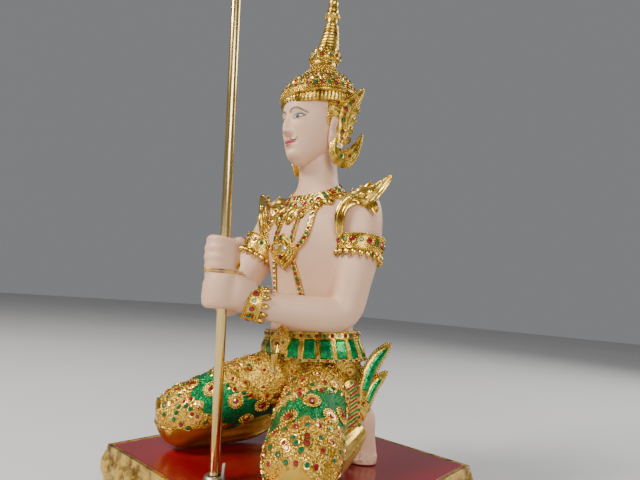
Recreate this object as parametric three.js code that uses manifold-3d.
// Kneeling deity figure, cast in resin with gilt ornaments, holding a brass pole on a square plinth.
// Millimetres, +Z up. The figure faces -Y and its left hand is on the +X side.
// The origin is the middle of the plinth's underside.
import * as THREE from "three";
import { mergeVertices } from "three/addons/utils/BufferGeometryUtils.js";
import Module from "manifold-3d";

// Driving dimensions
const GAP = 0.3;
const PLINTH = { side: 149.4, height: 28, lip: 2.4, reach: 5, leavesPerSide: 5 };
const POLE = { radius: 2.6, foot: [3, -59.6, 0], lean: [-0.041, -0.0487, 1], from: 0.9, length: 322 };
const SHOULDER = { out: 34, back: 5, up: 150 };
const HEAD = { y: -6, turn: -8 };
const CROWN = { y: 2.6, forward: -7.4, dip: 0.22, drop: 2.5, bottom: 220.5, rim: 25, waist: 8.4, top: 341 };
const BELT = { thick: 0.9, uprights: 8, tiltX: 0.07, tiltY: 0.05 };
const ORNAMENT_X = -5;
const EAR = { at: [19.5, -5, 200], along: [0.3, 0.954, 0] };
const WING = { at: [40, 8, 40], along: [0.35, 0.937, 0] };

const X = new THREE.Vector3(1, 0, 0);
const Y = new THREE.Vector3(0, 1, 0);
const Z = new THREE.Vector3(0, 0, 1);

const wasm = await Module();
wasm.setup();

// Turns a closed three.js geometry into a solid that can be joined and cut.
function solid(geometry) {
  const bare = geometry.clone();
  bare.deleteAttribute("normal");
  bare.deleteAttribute("uv");
  const merged = mergeVertices(bare, 1e-4);
  return new wasm.Manifold(
    new wasm.Mesh({
      numProp: 3,
      vertProperties: new Float32Array(merged.attributes.position.array),
      triVerts: new Uint32Array(merged.index.array),
    }),
  );
}

// Turns a solid back into a three.js geometry.
function geometryOf(body) {
  const mesh = body.getMesh();
  const geometry = new THREE.BufferGeometry();
  geometry.setAttribute("position", new THREE.BufferAttribute(mesh.vertProperties, 3));
  geometry.setIndex(new THREE.BufferAttribute(mesh.triVerts, 1));
  return geometry;
}

function join(bodies) {
  return bodies.reduce((whole, body) => whole.add(body));
}

// The outer shell of a solid, with the pockets that joined pieces shut in between them filled.
function filled(body) {
  return body.decompose().reduce((best, shell) => (shell.volume() > best.volume() ? shell : best));
}

// A smooth line through the middles of the stations, with the half sizes eased along it in step.
// Each station is [x, y, z, half width, half depth]. Sections are ellipses. With level set they stay
// horizontal, otherwise they stand square to the line, with their depth on the side that face points to.
// The rings stand at even steps from from to to, or at the places listed in at. The corners stand at even
// turns, or at those listed in turns. The relief function adds to the half sizes at a place and corner.
function loft(stations, options) {
  const { around = 4, steps = 1, face = Y, level = false } = options;
  const { grow = 0, mirror = 1, from = 0, to = 1 } = options;
  const even = Array.from({ length: steps + 1 }, (_, ring) => from + ((to - from) * ring) / steps);
  const evenTurns = Array.from({ length: around }, (_, i) => (2 * Math.PI * i) / around);
  const { at = even, turns = evenTurns, relief = () => 0 } = options;
  const middles = stations.map(([x, y, z]) => new THREE.Vector3(x * mirror, y, z));
  const sizes = stations.map(([, , , wide, deep]) => new THREE.Vector3(wide, deep, 0));
  const line = new THREE.CatmullRomCurve3(middles, false, "catmullrom", 0.5);
  const size = new THREE.CatmullRomCurve3(sizes, false, "catmullrom", 0.5);
  const places = [];
  at.forEach((t) => {
    const middle = line.getPoint(t);
    const tangent = level ? Z : line.getTangent(t);
    const across = level ? X : new THREE.Vector3().crossVectors(face, tangent).normalize();
    const depth = new THREE.Vector3().crossVectors(tangent, across);
    const half = size.getPoint(t);
    turns.forEach((angle, i) => {
      const more = grow + relief(t, i);
      const place = middle
        .clone()
        .addScaledVector(across, (half.x + more) * Math.cos(angle))
        .addScaledVector(depth, (half.y + more) * Math.sin(angle));
      places.push(place);
    });
  });
  const [first, last] = [at[0], at[at.length - 1]];
  const start = line.getPoint(first).addScaledVector(level ? Z : line.getTangent(first), -0.4 * grow);
  const end = line.getPoint(last).addScaledVector(level ? Z : line.getTangent(last), 0.4 * grow);
  return skin(places, turns.length, at.length - 1, start, end);
}

// Closes rings of points into a solid, with a point in the middle of each end.
function skin(places, around, steps, start, end) {
  const faces = [];
  for (let ring = 0; ring < steps; ring++)
    for (let i = 0; i < around; i++) {
      const next = (i + 1) % around;
      const here = ring * around;
      const above = here + around;
      faces.push(here + i, here + next, above + next, here + i, above + next, above + i);
    }
  const first = places.length;
  places.push(start, end);
  const last = steps * around;
  for (let i = 0; i < around; i++) {
    const next = (i + 1) % around;
    faces.push(first, next, i, first + 1, last + i, last + next);
  }
  const geometry = new THREE.BufferGeometry().setFromPoints(places);
  geometry.setIndex(faces);
  return solid(geometry);
}

function box(size, at, turn = [0, 0, 0]) {
  const geometry = new THREE.BoxGeometry(...size);
  geometry.rotateX(turn[0]).rotateY(turn[1]).rotateZ(turn[2]);
  return solid(geometry.translate(...at));
}

// Body
const TORSO = [
  [0, 10, 40, 27, 18],
  [0, 9, 52, 34, 21],
  [0, 6.5, 66, 34, 18],
  [0, 6, 76, 31.5, 17],
  [0, 5, 88, 30, 17],
  [0, 3.5, 103, 31.5, 18],
  [0, 2, 118, 34.5, 20],
  [0, 1.5, 131, 37, 20.5],
  [0, 2.5, 143, 37, 18.5],
  [0, 4, 152, 32, 15.5],
  [0, 4, 160, 22, 13.5],
  [0, 3, 167, 14.5, 13],
  [0, 1.5, 176, 12.8, 12.8],
  [0, -0.5, 188, 12, 13],
];
const SKULL = [
  [0, -15, 177, 3.5, 4],
  [0, -14.5, 181, 8.5, 8.5],
  [0, -10.5, 187, 13, 14.5],
  [0, -7, 195, 16.2, 19.2],
  [0, -6, 205, 18, 22],
  [0, -5.5, 215, 18.8, 22.8],
  [0, -5, 225, 18.2, 22],
  [0, -4.5, 232, 13.5, 16],
  [0, -4.5, 236, 3, 4],
];
const ARM_LEFT = [
  [SHOULDER.out - 6, SHOULDER.back, SHOULDER.up + 9, 6, 9],
  [SHOULDER.out - 1, SHOULDER.back, SHOULDER.up, 13.5, 13.2],
  [35.5, 4, 128, 13, 12.6],
  [35.5, 0, 107, 11.6, 11],
  [34, -5, 88, 10, 9.6],
  [26, -19, 85.5, 9.8, 9.6],
  [17, -35, 86.8, 8.6, 7.8],
  [8, -49.5, 88.8, 7.2, 6.3],
  [2, -57.5, 91.5, 7.2, 6.5],
];
const ARM_RIGHT = [
  [-SHOULDER.out + 6, SHOULDER.back, SHOULDER.up + 9, 6, 9],
  [-SHOULDER.out, SHOULDER.back, SHOULDER.up, 13.5, 13.2],
  [-38, -3, 130, 13, 12.6],
  [-43, -12, 110, 11.6, 11],
  [-47, -22, 92, 10, 9.6],
  [-36, -33, 89, 9.8, 9.6],
  [-25, -44, 97, 9, 8.6],
  [-14, -54, 106, 7.4, 6.8],
  [-8, -60, 110, 7.4, 6.5],
];
const THIGH = [
  [13, 12, 43, 19, 18],
  [20.6, -5, 40, 18.6, 19],
  [30.4, -21, 34, 18.2, 18.5],
  [41, -35.5, 26, 18.6, 17.5],
  [49.5, -48.5, 18.5, 17.2, 16.5],
  [55, -56, 14.5, 12, 12],
  [57, -59.5, 13, 4, 4],
];
const SHIN = [
  [49.5, -50, 12.3, 11.5, 11.7],
  [42.5, -30, 12, 10.8, 11.4],
  [36.5, -8, 12, 9.5, 10.5],
  [34, 8, 14.5, 7.5, 8.5],
  [33.5, 19, 19, 5.5, 6],
];
const SEAT = [
  [0, 15, 30, 22, 12],
  [0, 13, 40, 32, 20],
  [0, 10.5, 52, 36, 22],
  [0, 7, 64, 35.5, 19.5],
];
const FOOT = [
  [35, 18.5, 0.3, 8.6, 5.4],
  [35, 18.5, 1.6, 9.4, 6],
  [35, 19.5, 7, 9, 5.2],
  [35.3, 19, 16, 7.4, 5.6],
  [35.5, 18, 26, 6.8, 6.4],
  [35.5, 18, 31, 4.5, 4],
];
// The feet are made facing the front and are then turned outwards about an upright line, and moved back.
const FOOT_TURN = { x: 35.5, y: 18, degrees: 33, shiftX: -2.5, shiftY: 6 };
const GRIP_OFFSET = [-1.4, -1.2, 0];
const FISTS = [
  { name: "left", middle: 94.4, tall: 19.5, back: 1 },
  { name: "right", middle: 113.4, tall: 18.5, back: -1 },
];

// The pole's middle at a height above the plinth's top.
function poleAt(height) {
  return [POLE.foot[0] + POLE.lean[0] * height, POLE.foot[1] + POLE.lean[1] * height, height];
}

// Sets a geometry that was made round the Z axis, with its zero at the plinth's top, along the pole.
function alongPole(geometry) {
  const lean = new THREE.Vector3(...POLE.lean).normalize();
  geometry.applyQuaternion(new THREE.Quaternion().setFromUnitVectors(Z, lean));
  return geometry.translate(...POLE.foot);
}

// A closed hand round the pole: four fingers as a stack of round bulges, the palm beside them and a thumb.
function fist({ middle, tall, back }, grow) {
  const finger = tall / 4;
  const profile = [[0, -tall / 2 - grow]];
  for (let i = 0; i < 4; i++) {
    const low = -tall / 2 + i * finger;
    const reach = 9 - 0.4 * Math.abs(i - 1.5) + grow;
    profile.push([reach - 1.2, low + 0.2], [reach, low + 0.5 * finger]);
  }
  profile.push([6.5 + grow, tall / 2], [0, tall / 2 + grow]);
  const outline = profile.map(([r, z]) => new THREE.Vector2(r, z + middle));
  const turned = new THREE.LatheGeometry(outline, 7).rotateX(Math.PI / 2);
  const grip = solid(alongPole(turned).translate(...GRIP_OFFSET));
  const [x, y, z] = poleAt(middle);
  const palm = loft(
    [
      [x + 4.5 * back, y - 2, z, 3, 7.5],
      [x + 6 * back, y + 3, z, 5.5, 9.3],
      [x + 8 * back, y + 9, z - 0.4, 5.5, 8],
      [x + 9 * back, y + 14, z - 1, 4.5, 7],
    ],
    { around: 6, steps: 3, face: Z, grow },
  );
  const thumb = loft(
    [
      [x + 6 * back, y + 7, z + tall * 0.3, 2.5, 2.5],
      [x + 1 * back, y + 8.5, z + tall * 0.42, 3, 3],
      [x - 6 * back, y + 4, z + tall * 0.42, 1.6, 1.6],
    ],
    { around: 4, steps: 2, face: Z, grow },
  );
  return join([grip, palm, thumb]);
}

function nose(grow) {
  const y = HEAD.y;
  return loft(
    [
      [0, y - 19, 193.5, 3.4, 2.5],
      [0, y - 22.4, 196.5, 3.6, 3.6],
      [0, y - 21.5, 203, 2.2, 3],
      [0, y - 20.5, 209, 1.6, 2],
    ],
    { around: 5, steps: 3, level: true, grow },
  );
}

function earLobe(mirror, grow) {
  return loft(
    [
      [17.4, HEAD.y + 1, 189, 1.5, 2],
      [18.8, HEAD.y + 0.5, 193, 1.9, 3.4],
      [19.6, HEAD.y + 1.5, 201, 2, 4.6],
      [19.4, HEAD.y + 1, 207, 1.4, 3],
    ],
    { around: 5, steps: 3, level: true, grow, mirror },
  );
}

// The toes of the left foot. The other foot lies hidden under the trousers and stays plain.
function toes(grow) {
  return [0, 1, 2, 3, 4].map((i) =>
    loft(
      [
        [28.2 + 3.6 * i, 17, 6, 1.9, 2],
        [28 + 3.65 * i, 13.6 + 0.25 * i * i, 4.4, 2.2, 2.2],
        [27.9 + 3.7 * i, 11.2 + 0.3 * i * i, 2.3, 1.7, 1.5],
      ],
      { around: 4, steps: 2, face: Z, grow },
    ),
  );
}

function torso(grow) {
  return loft(TORSO, { around: 14, steps: 10, level: true, grow });
}

function torsoAndArms(grow) {
  return [
    torso(grow),
    loft(ARM_LEFT, { around: 8, steps: 8, face: X, grow }),
    loft(ARM_RIGHT, { around: 8, steps: 8, face: X, grow }),
  ];
}

// Turns a solid about the upright line through the middle of the head.
function withHead(body) {
  return body.translate([0, -HEAD.y, 0]).rotate([0, 0, HEAD.turn]).translate([0, HEAD.y, 0]);
}

function skullAndEars(grow) {
  const skull = loft(SKULL, { around: 12, steps: 8, level: true, grow });
  return [skull, earLobe(1, grow), earLobe(-1, grow)].map(withHead);
}

function head(grow) {
  return [...skullAndEars(grow), withHead(nose(grow))];
}

function hips(grow) {
  return loft(SEAT, { around: 14, steps: 3, level: true, grow });
}

// The trousers' raised edge band and cuff, as places along the thigh.
const THIGH_RINGS = [0, 0.17, 0.325, 0.335, 0.375, 0.385, 0.575, 0.59, 0.8, 0.93, 1];
function thighBands(t) {
  if (t > 0.33 && t < 0.38) return 1.1;
  return t > 0.58 && t < 0.95 ? 0.9 : 0;
}

function footTurned(body, mirror) {
  const { x, y, degrees, shiftX, shiftY } = FOOT_TURN;
  const turned = body.translate([-x * mirror, -y, 0]).rotate([0, 0, degrees * mirror]);
  return turned.translate([(x + shiftX) * mirror, y + shiftY, 0]);
}

function leg(mirror, grow) {
  const foot = [loft(FOOT, { around: 8, steps: 4, level: true, grow, mirror })];
  if (mirror > 0) foot.push(...toes(grow));
  return [
    loft(THIGH, { around: 10, at: THIGH_RINGS, relief: thighBands, face: Z, grow, mirror }),
    loft(SHIN, { around: 8, steps: 3, face: Z, grow, mirror }),
    ...foot.map((piece) => footTurned(piece, mirror)),
  ];
}

// Everything that is cast as one, made thicker all round by grow.
function figure(grow) {
  const parts = [...torsoAndArms(grow), ...head(grow), hips(grow), ...leg(1, grow), ...leg(-1, grow)];
  FISTS.forEach((hand) => parts.push(fist(hand, grow)));
  return join(parts);
}

const group = new THREE.Group();
const figureGroup = new THREE.Group();
figureGroup.position.z = PLINTH.height;
group.add(figureGroup);

function addNode(parent, name, body, colour, roughness, metalness) {
  const material = new THREE.MeshStandardMaterial({ color: colour, roughness, metalness });
  const mesh = new THREE.Mesh(geometryOf(body), material);
  mesh.name = name;
  parent.add(mesh);
}

const poleBore = solid(
  alongPole(
    new THREE.CylinderGeometry(POLE.radius + GAP, POLE.radius + GAP, 400, 8)
      .rotateX(Math.PI / 2)
      .translate(0, 0, 150),
  ),
);
const body = filled(figure(0)).subtract(poleBore);
const bodyClearance = figure(GAP);

// Crown: a cap set forward on the head, drawn up through a waist into a ringed spire.
function crownRings() {
  const cap = [
    [0, 0],
    [23.4, 0],
    [24.2, 5.5],
    [CROWN.rim, 6.6],
    [CROWN.rim, 8.6],
    [23.2, 12.5],
    [19, 17.5],
    [13, 22],
    [10.2, 26],
    [CROWN.waist, 29],
    [CROWN.waist, 32],
    [10, 34],
    [10, 38],
    [8, 40.6],
    [0, 40.6],
  ];
  const spire = [
    [0, 39],
    [7.8, 39],
  ];
  for (let step = 0; step < 3; step++) {
    const radius = 7.8 - 0.95 * step;
    const low = 40.6 + 7.2 * step;
    spire.push([radius, low + 0.4], [radius - 1.1, low + 6.8]);
  }
  spire.push([3.7, 63.5], [3.7, 67], [5.2, 68.2], [5.2, 69.8], [3.2, 71]);
  for (let ring = 0; ring < 5; ring++) {
    const radius = 3.9 - 0.62 * ring;
    const low = 72 + 8.8 * ring;
    spire.push([radius, low + 1], [radius - 0.9, low + 8.3]);
  }
  spire.push([0, CROWN.top - CROWN.bottom]);
  return [turn(cap, 13), turn(spire, 6)];
}

// A solid turned about the Z axis from [radius, height] pairs.
function turn(pairs, segments) {
  const outline = pairs.map(([radius, height]) => new THREE.Vector2(radius, height));
  return solid(new THREE.LatheGeometry(outline, segments).rotateX(Math.PI / 2));
}

// A leaf point: a flat four-sided spike standing at a radius and turned outwards.
function leafPoint(radius, height, angle, size, lean) {
  const spike = new THREE.ConeGeometry(size, 3.2 * size, 4).scale(1, 1, 0.55);
  spike.rotateX(Math.PI / 2).rotateX(lean).translate(0, -radius, height).rotateZ(angle);
  return solid(spike);
}

function crown() {
  const parts = crownRings();
  for (let i = 0; i < 8; i++) parts.push(leafPoint(21.8, 13.6, (i * Math.PI) / 4, 2.8, -0.45));
  for (let i = 0; i < 4; i++) parts.push(leafPoint(9.4, 38.4, (i * Math.PI) / 2, 1.8, -0.1));
  const upright = join(parts);
  const shifted = geometryOf(upright);
  const place = shifted.attributes.position;
  for (let i = 0; i < place.count; i++) {
    const low = 1 - THREE.MathUtils.smoothstep(place.getZ(i), 15, 58);
    const y = place.getY(i) + CROWN.y + CROWN.forward * low;
    const z = place.getZ(i) + CROWN.bottom + low * (CROWN.dip * (y - HEAD.y) - CROWN.drop);
    place.setXYZ(i, place.getX(i), y, z);
  }
  const straps = [1, -1].map((side) => withHead(box([8, 6, 24], [side * 17, HEAD.y - 2.5, 213])));
  const strapSkin = skullAndEars(1.5)[0].intersect(join(straps));
  return solid(shifted).add(strapSkin).subtract(join(skullAndEars(GAP)));
}

// A tapering flame or scroll along a curved middle line in a plane. Each station is
// [along, up, half width]. The plane passes through at, runs along the direction given and upwards.
function flame(plane, stations, thick, { around = 4, steps = 5 } = {}) {
  const along = new THREE.Vector3(...plane.along).normalize();
  const outwards = new THREE.Vector3().crossVectors(along, Z);
  const places = stations.map(([u, up, wide]) => {
    const place = new THREE.Vector3(...plane.at).addScaledVector(along, u).addScaledVector(Z, up);
    return [place.x, place.y, place.z, wide, Math.min(thick, 0.35 + 0.8 * wide)];
  });
  return loft(places, { around, steps, face: outwards });
}

// The ear ornament's flames: an upper and a lower tongue, a leaf in front of them and two barbs behind.
const EAR_TONGUES = [
  [[4, -9, 4], [5, 0, 5], [5.5, 8, 6.6], [7.5, 15, 6], [12, 22, 4.2], [15.5, 27, 2.4], [17.5, 32, 0.3]],
  [[1.5, -6, 3], [1.5, -14, 4], [5, -18, 5.4], [10, -17, 5.2], [14.5, -11.5, 3.6], [17, -6, 2], [19, 1, 0.3]],
];
const EAR_LEAF = [[2, 11, 4], [-3, 12.5, 2.8], [-7, 10, 0.6]];
const EAR_BARBS = [
  [[6, -19, 2.6], [10, -22, 1.6], [12.2, -23.6, 0.3]],
  [[10, 14, 2.6], [14, 15, 1.8], [16, 18.5, 0.3]],
];

function earOrnament(mirror) {
  const parts = [
    ...EAR_TONGUES.map((tongue) => flame(EAR, tongue, 2.2)),
    flame(EAR, EAR_LEAF, 1.8, { steps: 3 }),
    ...EAR_BARBS.map((barb) => flame(EAR, barb, 1.6, { steps: 2 })),
  ];
  return filled(withHead(mirror(join(parts))).subtract(crownBody).subtract(join(skullAndEars(GAP))));
}

function shoulderFlame() {
  const stem = loft(
    [
      [32.5, -12, 130, 1.4, 1.3],
      [33, -13, 136.5, 2.4, 2],
      [33.3, -13.5, 143, 2.8, 2.3],
      [34.9, -11.5, 149.3, 3.2, 2.5],
      [38.6, -7.5, 153.2, 4.2, 2.7],
      [44.5, -4, 154, 5.4, 2.7],
    ],
    { around: 5, steps: 6, face: Y },
  );
  const leaf = loft(
    [
      [37, -6, 154, 4, 2.5],
      [44, -3.5, 155, 6.4, 2.6],
      [49, -1, 158.8, 4.2, 2.3],
      [53, 1, 163.2, 2.4, 1.9],
      [56.4, 2.5, 167.8, 0.4, 0.4],
    ],
    { around: 5, steps: 4, face: Y },
  );
  const barb = loft(
    [
      [45, -3, 152, 4, 2.2],
      [49, -2.5, 148, 2.6, 1.8],
      [50.5, -2.5, 144.5, 0.4, 0.4],
    ],
    { around: 4, steps: 2, face: Y },
  );
  const curl = loft(
    [
      [43.5, -3, 157, 2.6, 2],
      [43.6, -2, 161, 1.6, 1.5],
      [44.8, -1, 164.6, 0.4, 0.4],
    ],
    { around: 4, steps: 2, face: Y },
  );
  return join([stem, leaf, barb, curl]);
}

// An upright prism over a closed outline of [x, y] points.
function prism(points, low, high) {
  const outline = new THREE.Shape(points.map(([x, y]) => new THREE.Vector2(x, y)));
  const geometry = new THREE.ExtrudeGeometry(outline, { depth: high - low, bevelEnabled: false });
  return solid(geometry.translate(0, 0, low));
}

// A prism that runs back from the front over a closed outline of [x, z] points.
function frontPrism(points) {
  const outline = new THREE.Shape(points.map(([x, z]) => new THREE.Vector2(x, z)));
  const geometry = new THREE.ExtrudeGeometry(outline, { depth: 40, bevelEnabled: false });
  return solid(geometry.rotateX(Math.PI / 2));
}

// The outline of a strip of even width along a line of [x, z] points.
function strip(points, width) {
  const line = new THREE.SplineCurve(points.map(([x, z]) => new THREE.Vector2(x, z)));
  const count = points.length + 1;
  const left = [];
  const right = [];
  for (let i = 0; i < count; i++) {
    const t = i / (count - 1);
    const place = line.getPoint(t);
    const tangent = line.getTangent(t);
    left.push([place.x - (tangent.y * width) / 2, place.y + (tangent.x * width) / 2]);
    right.unshift([place.x + (tangent.y * width) / 2, place.y - (tangent.x * width) / 2]);
  }
  return left.concat(right).reverse();
}

// A scalloped ring outline round the neck, seen from above.
function scallops(across, deep, count, depth) {
  const points = [];
  for (let i = 0; i < 2 * count; i++) {
    const angle = (i * Math.PI) / count;
    const reach = i % 2 ? 1 + depth : 1;
    points.push([
      ORNAMENT_X + across * reach * Math.cos(angle),
      1 + deep * reach * Math.sin(angle),
    ]);
  }
  return points;
}

// The collar's upper edge lies in a plane that rises towards the nape.
const COLLAR_SLOPE = 0.51;
function collar(gap) {
  const outer = prism(scallops(28.5 + gap, 17 + gap, 9, 0.12), 132, 172);
  return outer.subtract(box([100, 100, 40], [0, -9.77, 181.4 + gap], [COLLAR_SLOPE, 0, 0]));
}

const STRANDS = [
  [[-20, 148], [-20.6, 139], [-20.6, 131], [-19.5, 127], [-16, 123.5]],
  [[-11, 147], [-11.5, 138], [-14, 127.5]],
  [[2.5, 147], [3, 138], [1.5, 127.5]],
  [[13.5, 149], [14, 139], [12, 129.5], [5, 122.5]],
  [[-15, 117], [-17, 104], [-17.5, 93]],
  [[2.5, 116], [5.5, 104], [8, 93]],
  [[-19, 94.8], [-5, 93.6], [9.8, 94.5]],
];
const STRAND_WIDTH = 3.6;
const PENDANT = [
  [-4.5, 110.5],
  [2.5, 115.5],
  [6.8, 122],
  [1.8, 127.5],
  [-5.5, 132.5],
  [-13, 127.5],
  [-20.5, 123],
  [-14.5, 115.5],
];

function chestOrnament() {
  const outlines = STRANDS.map((points) => frontPrism(strip(points, STRAND_WIDTH)));
  const thin = join(outlines).intersect(torso(1.9));
  const thick = frontPrism(PENDANT).intersect(torso(2.8));
  return filled(thin.add(thick).subtract(collar(GAP)).subtract(bodyClearance));
}

// A cuff round an arm between two places along it, with bud points that stand out from its edge at to.
function cuff(stations, from, to, buds, reach) {
  const ends = [Math.min(from, to), Math.max(from, to)];
  const parts = [loft(stations, { around: 8, steps: 1, face: X, grow: 2.1, from: ends[0], to: ends[1] })];
  const middles = stations.map(([x, y, z]) => new THREE.Vector3(x, y, z));
  const line = new THREE.CatmullRomCurve3(middles, false, "catmullrom", 0.5);
  const tangent = line.getTangent(to);
  const across = new THREE.Vector3().crossVectors(X, tangent).normalize();
  const depth = new THREE.Vector3().crossVectors(tangent, across);
  const middle = line.getPoint(to);
  const onwards = tangent.clone().multiplyScalar(Math.sign(to - from));
  const outwards = depth.clone().multiplyScalar(Math.sign(from - to));
  const near = stations[Math.round(to * (stations.length - 1))];
  for (let i = 0; i < buds; i++) {
    const spike = new THREE.ConeGeometry(2.4, reach, 4).scale(1, 1, 0.5);
    spike.translate(0, reach / 2 - 1, near[3] + 0.6).rotateY((2 * Math.PI * i) / buds);
    spike.applyMatrix4(new THREE.Matrix4().makeBasis(across, onwards, outwards));
    parts.push(solid(spike.translate(middle.x, middle.y, middle.z)));
  }
  return filled(join(parts).subtract(bodyClearance));
}

// Belt: a band that follows the waist, with upright bars, a buckle and a hanging tongue.
const BELT_LINE = [
  [0, 8.9, 57, 38.3, 23.6],
  [0, 8.2, 60, 38, 22.8],
  [0, 7, 64, 37.4, 21.6],
  [0, 6.4, 68, 35.8, 20.2],
  [0, 6, 75, 34, 19.2],
];

// Lowers the belt towards its right side and its front.
function tilted(body) {
  const geometry = geometryOf(body);
  const place = geometry.attributes.position;
  for (let i = 0; i < place.count; i++) {
    const [x, y, z] = [place.getX(i), place.getY(i), place.getZ(i)];
    place.setXYZ(i, x, y, z + BELT.tiltX * x + BELT.tiltY * (y - 6));
  }
  return solid(geometry);
}

// The belt's outside: raised rims at its edges and raised uprights between its panels.
const BELT_RINGS = [0.04, 0.15, 0.19, 0.85, 0.89, 0.98];
const BUCKLE = [[0, -10], [6, -6], [10, 3], [0, 11], [-10, 3], [-6, -6]];
const BUCKLE_UP = 67.5;

function beltOutside() {
  const turns = [];
  for (let i = 0; i < BELT.uprights; i++)
    [-0.06, 0, 0.06].forEach((off) => turns.push(off + (2 * Math.PI * i) / BELT.uprights));
  const relief = (t, i) => (t < 0.17 || t > 0.87 || i % 3 === 1 ? 0.7 : 0);
  return loft(BELT_LINE, { turns, at: BELT_RINGS, level: true, relief });
}

function belt() {
  const parts = [beltOutside()];
  const plate = frontPrism(BUCKLE.map(([x, z]) => [x + ORNAMENT_X, z + BUCKLE_UP]));
  const plateSkin = loft(BELT_LINE, { around: 14, at: [0.05, 0.5, 0.97], level: true, grow: 2.6 });
  parts.push(plate.intersect(plateSkin));
  const tongue = loft(
    [
      [ORNAMENT_X + 1, -17.5, 50, 0.4, 0.5],
      [ORNAMENT_X - 0.5, -18, 57, 2.4, 1.1],
      [ORNAMENT_X, -18.2, 62, 2.6, 1.1],
      [ORNAMENT_X, -15.8, 69, 1.6, 1],
    ],
    { around: 5, steps: 3, level: true },
  );
  parts.push(tongue);
  const inside = loft(BELT_LINE, { around: 14, level: true, grow: -BELT.thick });
  return filled(tilted(filled(join(parts).subtract(inside))).subtract(bodyClearance));
}

// The hip wing's upper and lower tongue, and the root that both grow from.
const WING_TONGUES = [
  [[1.5, -1, 3], [3, 6, 4], [6, 15, 4.6], [11, 22.5, 4], [16, 27.5, 2.6], [20.3, 31.2, 0.4]],
  [[3.5, -7, 2.6], [6, 0, 3.2], [9.5, 6.5, 3.2], [14, 11, 2.4], [19, 14.8, 0.4]],
];
const WING_ROOT = [[3.5, -12.5, 0.5], [3, -8, 2.8], [1, 0, 3.4]];

function hipWing() {
  const tongues = WING_TONGUES.map((tongue) => flame(WING, tongue, 1.8));
  return join([...tongues, flame(WING, WING_ROOT, 2.2, { steps: 3 })]);
}

// The striped panel that hangs over the hip, in front of the wing.
const PANEL = { size: [8, 9.6, 25], at: [40, -1, 38.8], turn: [0.1, 0, -0.55] };
function hipPanel() {
  return box(PANEL.size, PANEL.at, PANEL.turn);
}

function poleRod() {
  const top = POLE.length;
  const rod = [
    [0, POLE.from],
    [POLE.radius, POLE.from],
    [POLE.radius, top - 14],
    [4, top - 12.5],
    [4, top - 11],
    [2.8, top - 10],
    [4.2, top - 6.5],
    [2.6, top - 2],
    [0, top],
  ].map(([radius, height]) => new THREE.Vector2(radius, height));
  return solid(alongPole(new THREE.LatheGeometry(rod, 8).rotateX(Math.PI / 2)));
}

function poleSocket() {
  const ring = turn(
    [
      [0, GAP],
      [5.6, GAP],
      [5.2, 2.2],
      [4, 3],
      [0, 3],
    ],
    10,
  ).translate(POLE.foot);
  const tab = box([1.2, 3, 9], [POLE.foot[0] + 4, POLE.foot[1] + 2, GAP + 4.5], [0, 0, 0.7]);
  return ring.add(tab).subtract(poleBore);
}

function plinthBoard() {
  const { side, height } = PLINTH;
  return box([side, side, height], [0, 0, height / 2]);
}

// A square ring with mitred corners, from [half width, height] pairs.
function squareRing(pairs) {
  const outline = pairs.map(([half, height]) => new THREE.Vector2(half * Math.SQRT2, height));
  return solid(new THREE.LatheGeometry(outline, 4, Math.PI / 4).rotateX(Math.PI / 2));
}

function plinthMoulding() {
  const inner = PLINTH.side / 2 + GAP;
  const outer = PLINTH.side / 2 + PLINTH.reach;
  const top = PLINTH.height;
  const parts = [
    squareRing([
      [inner, 0],
      [outer, 0],
      [outer, 4.5],
      [outer - 1.6, 6],
      [outer - 2.6, 9],
      [outer - 0.8, 14],
      [outer - 0.4, 19],
      [outer - 1.6, top - 4.5],
      [inner + PLINTH.lip, top - 3],
      [inner + PLINTH.lip, top],
      [inner, top],
      [inner, 0],
    ]),
  ];
  const pitch = (2 * outer) / PLINTH.leavesPerSide;
  for (let side = 0; side < 4; side++) {
    for (let i = 0; i < PLINTH.leavesPerSide; i++) {
      const along = (i - (PLINTH.leavesPerSide - 1) / 2) * pitch;
      const leaf = new THREE.OctahedronGeometry(1).scale(0.42 * pitch, 1.6, 6.2);
      leaf.translate(along, -(outer - 1.4), 16).rotateZ((side * Math.PI) / 2);
      parts.push(solid(leaf));
    }
  }
  return join(parts);
}

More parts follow.
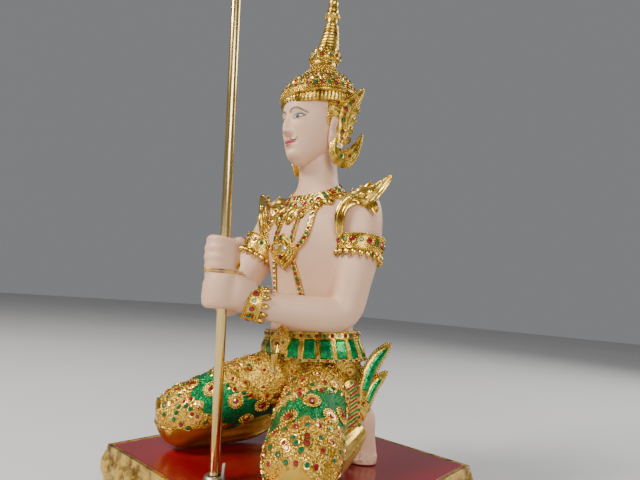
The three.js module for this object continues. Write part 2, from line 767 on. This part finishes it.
const gold = [0xd9a73a, 0.3, 1];
addNode(figureGroup, "figure_body", body, 0xe2b79a, 0.6, 0);
const crownBody = crown();
addNode(figureGroup, "crown", crownBody, ...gold);
const collarBody = filled(collar(0).intersect(join(torsoAndArms(2.2))).subtract(bodyClearance));
addNode(figureGroup, "collar", collarBody, ...gold);
addNode(figureGroup, "chest_ornament", chestOrnament(), ...gold);
addNode(figureGroup, "belt", belt(), ...gold);

// For each side, where the armlet and the bracelet start and end along the arm, the number of their
// buds and the buds' length.
const SIDES = [
  {
    name: "left",
    mirror: (piece) => piece,
    arm: ARM_LEFT,
    armlet: [0.232, 0.288, 6, 8],
    bracelet: [0.92, 0.85, 5, 7],
  },
  {
    name: "right",
    mirror: (piece) => piece.mirror([1, 0, 0]),
    arm: ARM_RIGHT,
    armlet: [0.252, 0.315, 5, 8],
    bracelet: [0.965, 0.935, 0, 0],
  },
];
SIDES.forEach(({ name, mirror, arm, armlet, bracelet }) => {
  addNode(figureGroup, "ear_ornament_" + name, earOrnament(mirror), ...gold);
  const armletBody = cuff(arm, ...armlet);
  addNode(figureGroup, "armlet_" + name, armletBody, ...gold);
  addNode(figureGroup, "bracelet_" + name, cuff(arm, ...bracelet), ...gold);
  const armletClearance = [[0, 0, GAP], [0, -GAP, 0]].map((shift) => armletBody.translate(shift));
  const nearby = join([bodyClearance, armletBody, ...armletClearance, collar(GAP)]);
  const scroll = filled(mirror(shoulderFlame()).subtract(nearby));
  addNode(figureGroup, "shoulder_flame_" + name, scroll, ...gold);
  const wing = filled(mirror(hipWing()).subtract(bodyClearance));
  addNode(figureGroup, "hip_wing_" + name, wing, ...gold);
  const panel = filled(mirror(hipPanel()).subtract(bodyClearance));
  addNode(figureGroup, "hip_panel_" + name, panel, ...gold);
});

addNode(figureGroup, "pole", poleRod(), 0xc9a55a, 0.3, 1);
addNode(figureGroup, "pole_socket", poleSocket(), 0x9a9488, 0.4, 1);
addNode(group, "plinth_board", plinthBoard(), 0x8a0f10, 0.2, 0);
addNode(group, "plinth_moulding", plinthMoulding(), ...gold);

export default group;
